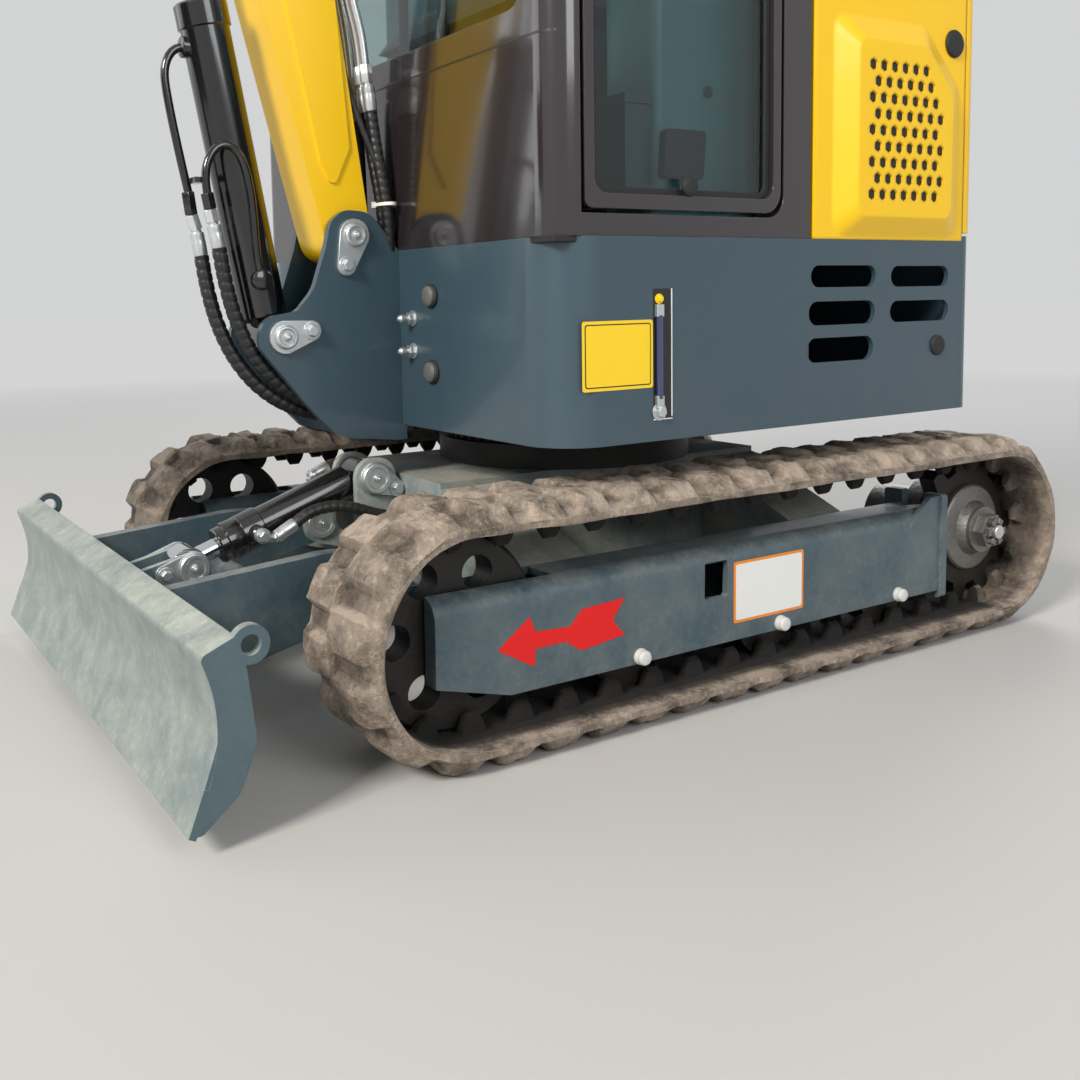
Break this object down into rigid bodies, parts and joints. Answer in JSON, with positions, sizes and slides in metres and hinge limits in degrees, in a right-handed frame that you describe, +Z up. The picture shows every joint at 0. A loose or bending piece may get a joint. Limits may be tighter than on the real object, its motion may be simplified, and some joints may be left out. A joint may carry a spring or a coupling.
{
  "type": "mini excavator",
  "caption": "Tracked mini excavator with an enclosed cab on a slewing upper body, a dozer blade, and a boom, arm and bucket worked by cylinders.",
  "frame": {"origin": "on the ground, under the middle of the machine's bounding box", "axes": "+X to the machine's left, where the door is; -Y to the front, where the blade and boom are; +Z up"},
  "size_m": [0.98, 2.4042, 2.25],
  "materials": {
    "track_rubber": "moulded rubber, worn and dusty",
    "slate_paint": "slate grey-blue paint, satin",
    "running_gear": "dark cast steel, satin",
    "yellow_paint": "yellow paint, gloss",
    "bucket_paint": "dark grey paint, worn at the teeth",
    "cab_paint": "dark brown-grey paint, gloss",
    "cylinder_paint": "black paint, gloss",
    "rod_chrome": "polished",
    "pin_zinc": "zinc plated",
    "cab_glass": "tinted clear glass",
    "floor_rubber": "rubber mat",
    "seat_cover": "black vinyl, satin",
    "console_plastic": "fine grain"
  },
  "bodies": {
    "undercarriage": {"belt_left": "track_rubber", "belt_right": "track_rubber", "car_body": "slate_paint", "frame_legs": "slate_paint", "idler_left": "running_gear", "idler_right": "running_gear", "motor_left": "running_gear", "motor_right": "running_gear", "push_pins": "pin_zinc", "rollers_left": "running_gear", "rollers_right": "running_gear", "slew_ring": "running_gear", "slew_seat": "slate_paint", "sprocket_left": "running_gear", "sprocket_right": "running_gear", "track_frame_left": "slate_paint", "track_frame_right": "slate_paint"},
    "upper": {"boom_bracket": "slate_paint", "bracket_pins": "pin_zinc", "cab_back": "cab_paint", "cab_floor": "floor_rubber", "cab_front": "cab_paint", "cab_glass": "cab_glass", "cab_left": "cab_paint", "cab_right": "cab_paint", "cab_roof": "cab_paint", "console_left": "console_plastic", "console_right": "console_plastic", "counterweight": "slate_paint", "engine": "running_gear", "engine_cover_left": "yellow_paint", "engine_cover_right": "yellow_paint", "platform": "slate_paint", "seat": "seat_cover", "seat_box": "slate_paint", "skirt_left": "slate_paint", "skirt_right": "slate_paint", "slew_race": "running_gear", "top_cover": "cab_paint", "travel_levers": "console_plastic"},
    "blade": {"moldboard": "slate_paint", "push_arms": "slate_paint"},
    "blade_barrel": {"blade_barrel": "cylinder_paint"},
    "blade_rod": {"blade_rod": "rod_chrome"},
    "boom": {"boom": "yellow_paint", "boom_pins": "pin_zinc"},
    "boom_barrel": {"boom_barrel": "cylinder_paint"},
    "boom_rod": {"boom_rod": "rod_chrome"},
    "arm": {"arm": "yellow_paint", "arm_pins": "pin_zinc"},
    "arm_barrel": {"arm_barrel": "cylinder_paint"},
    "arm_rod": {"arm_rod": "rod_chrome"},
    "rocker": {"rocker": "bucket_paint"},
    "bucket_link": {"bucket_link": "bucket_paint"},
    "bucket": {"bucket": "bucket_paint"},
    "bucket_barrel": {"bucket_barrel": "cylinder_paint"},
    "bucket_rod": {"bucket_rod": "rod_chrome"},
    "door": {"door_frame": "cab_paint", "door_glass": "cab_glass"},
    "rear_hood": {"rear_hood": "yellow_paint"}
  },
  "joints": [
    {"name": "slew", "type": "hinge", "parent": "undercarriage", "child": "upper", "pos_m": [0, 0.50721, 0.356], "axis": [0, 0, 1], "continuous": true},
    {"name": "blade_lift", "type": "hinge", "parent": "undercarriage", "child": "blade", "pos_m": [0, 0.11721, 0.188], "axis": [-1, 0, 0], "range_deg": [-22, 12]},
    {"name": "boom_lift", "type": "hinge", "parent": "upper", "child": "boom", "pos_m": [0, 0.08221, 0.655], "axis": [-1, 0, 0], "range_deg": [-70, 6]},
    {"name": "arm_swing", "type": "hinge", "parent": "boom", "child": "arm", "pos_m": [0, -0.56818, 1.79081], "axis": [1, 0, 0], "range_deg": [-64, 35]},
    {"name": "bucket_curl", "type": "hinge", "parent": "arm", "child": "bucket", "pos_m": [0, -1.0844, 1.05357], "axis": [1, 0, 0], "range_deg": [-118, 30]},
    {"name": "blade_barrel_pivot", "type": "hinge", "parent": "undercarriage", "child": "blade_barrel", "pos_m": [0, 0.11521, 0.291], "axis": [1, 0, 0], "range_deg": [-10.91, 19.58]},
    {"name": "blade_rod_slide", "type": "slide", "parent": "blade_barrel", "child": "blade_rod", "axis": [0, -0.9432, -0.3321], "range_m": [-0.02046, 0.03668]},
    {"name": "boom_barrel_pivot", "type": "hinge", "parent": "upper", "child": "boom_barrel", "pos_m": [0, -0.03079, 0.51], "axis": [1, 0, 0], "range_deg": [-6.28, 67.92]},
    {"name": "boom_rod_slide", "type": "slide", "parent": "boom_barrel", "child": "boom_rod", "axis": [0, -0.1737, 0.9848], "range_m": [-0.20936, 0.01886]},
    {"name": "arm_barrel_pivot", "type": "hinge", "parent": "boom", "child": "arm_barrel", "pos_m": [0, -0.04875, 1.5311], "axis": [1, 0, 0], "range_deg": [-1.03, 1.46]},
    {"name": "arm_rod_slide", "type": "slide", "parent": "arm_barrel", "child": "arm_rod", "axis": [0, -0.7091, 0.7051], "range_m": [-0.2027, 0.11131]},
    {"name": "rocker_turn", "type": "hinge", "parent": "arm", "child": "rocker", "pos_m": [0, -1.00082, 1.19037], "axis": [1, 0, 0], "range_deg": [-49.4, 12.93]},
    {"name": "link_turn", "type": "hinge", "parent": "rocker", "child": "bucket_link", "pos_m": [0, -1.18008, 1.12739], "axis": [1, 0, 0], "range_deg": [-10.54, 39.99]},
    {"name": "bucket_barrel_pivot", "type": "hinge", "parent": "arm", "child": "bucket_barrel", "pos_m": [0, -0.76563, 1.70932], "axis": [1, 0, 0], "range_deg": [-8.39, 2.51]},
    {"name": "bucket_rod_slide", "type": "slide", "parent": "bucket_barrel", "child": "bucket_rod", "axis": [0, -0.5801, -0.8145], "range_m": [-0.12974, 0.03373]},
    {"name": "door", "type": "hinge", "parent": "upper", "child": "door", "pos_m": [0.466, 0.83421, 1.44], "axis": [0, 0, 1], "range_deg": [0, 150]},
    {"name": "rear_hood", "type": "hinge", "parent": "upper", "child": "rear_hood", "pos_m": [0, 0.94021, 1.166], "axis": [1, 0, 0], "range_deg": [0, 100]}
  ],
  "couplings": [
    {"joint": "blade_barrel_pivot", "follows": "blade_lift", "ratio": -0.86712},
    {"joint": "blade_rod_slide", "follows": "blade_lift", "m_per_rad": -0.092929},
    {"joint": "boom_barrel_pivot", "follows": "boom_lift", "ratio": -0.96318},
    {"joint": "boom_rod_slide", "follows": "boom_lift", "m_per_rad": 0.17054},
    {"joint": "arm_barrel_pivot", "follows": "arm_swing", "ratio": -0.01507},
    {"joint": "arm_rod_slide", "follows": "arm_swing", "m_per_rad": 0.18058},
    {"joint": "rocker_turn", "follows": "bucket_curl", "ratio": 0.41443},
    {"joint": "link_turn", "follows": "bucket_curl", "ratio": -0.33465},
    {"joint": "bucket_barrel_pivot", "follows": "bucket_curl", "ratio": 0.06688},
    {"joint": "bucket_rod_slide", "follows": "bucket_curl", "m_per_rad": 0.06251}
  ]
}
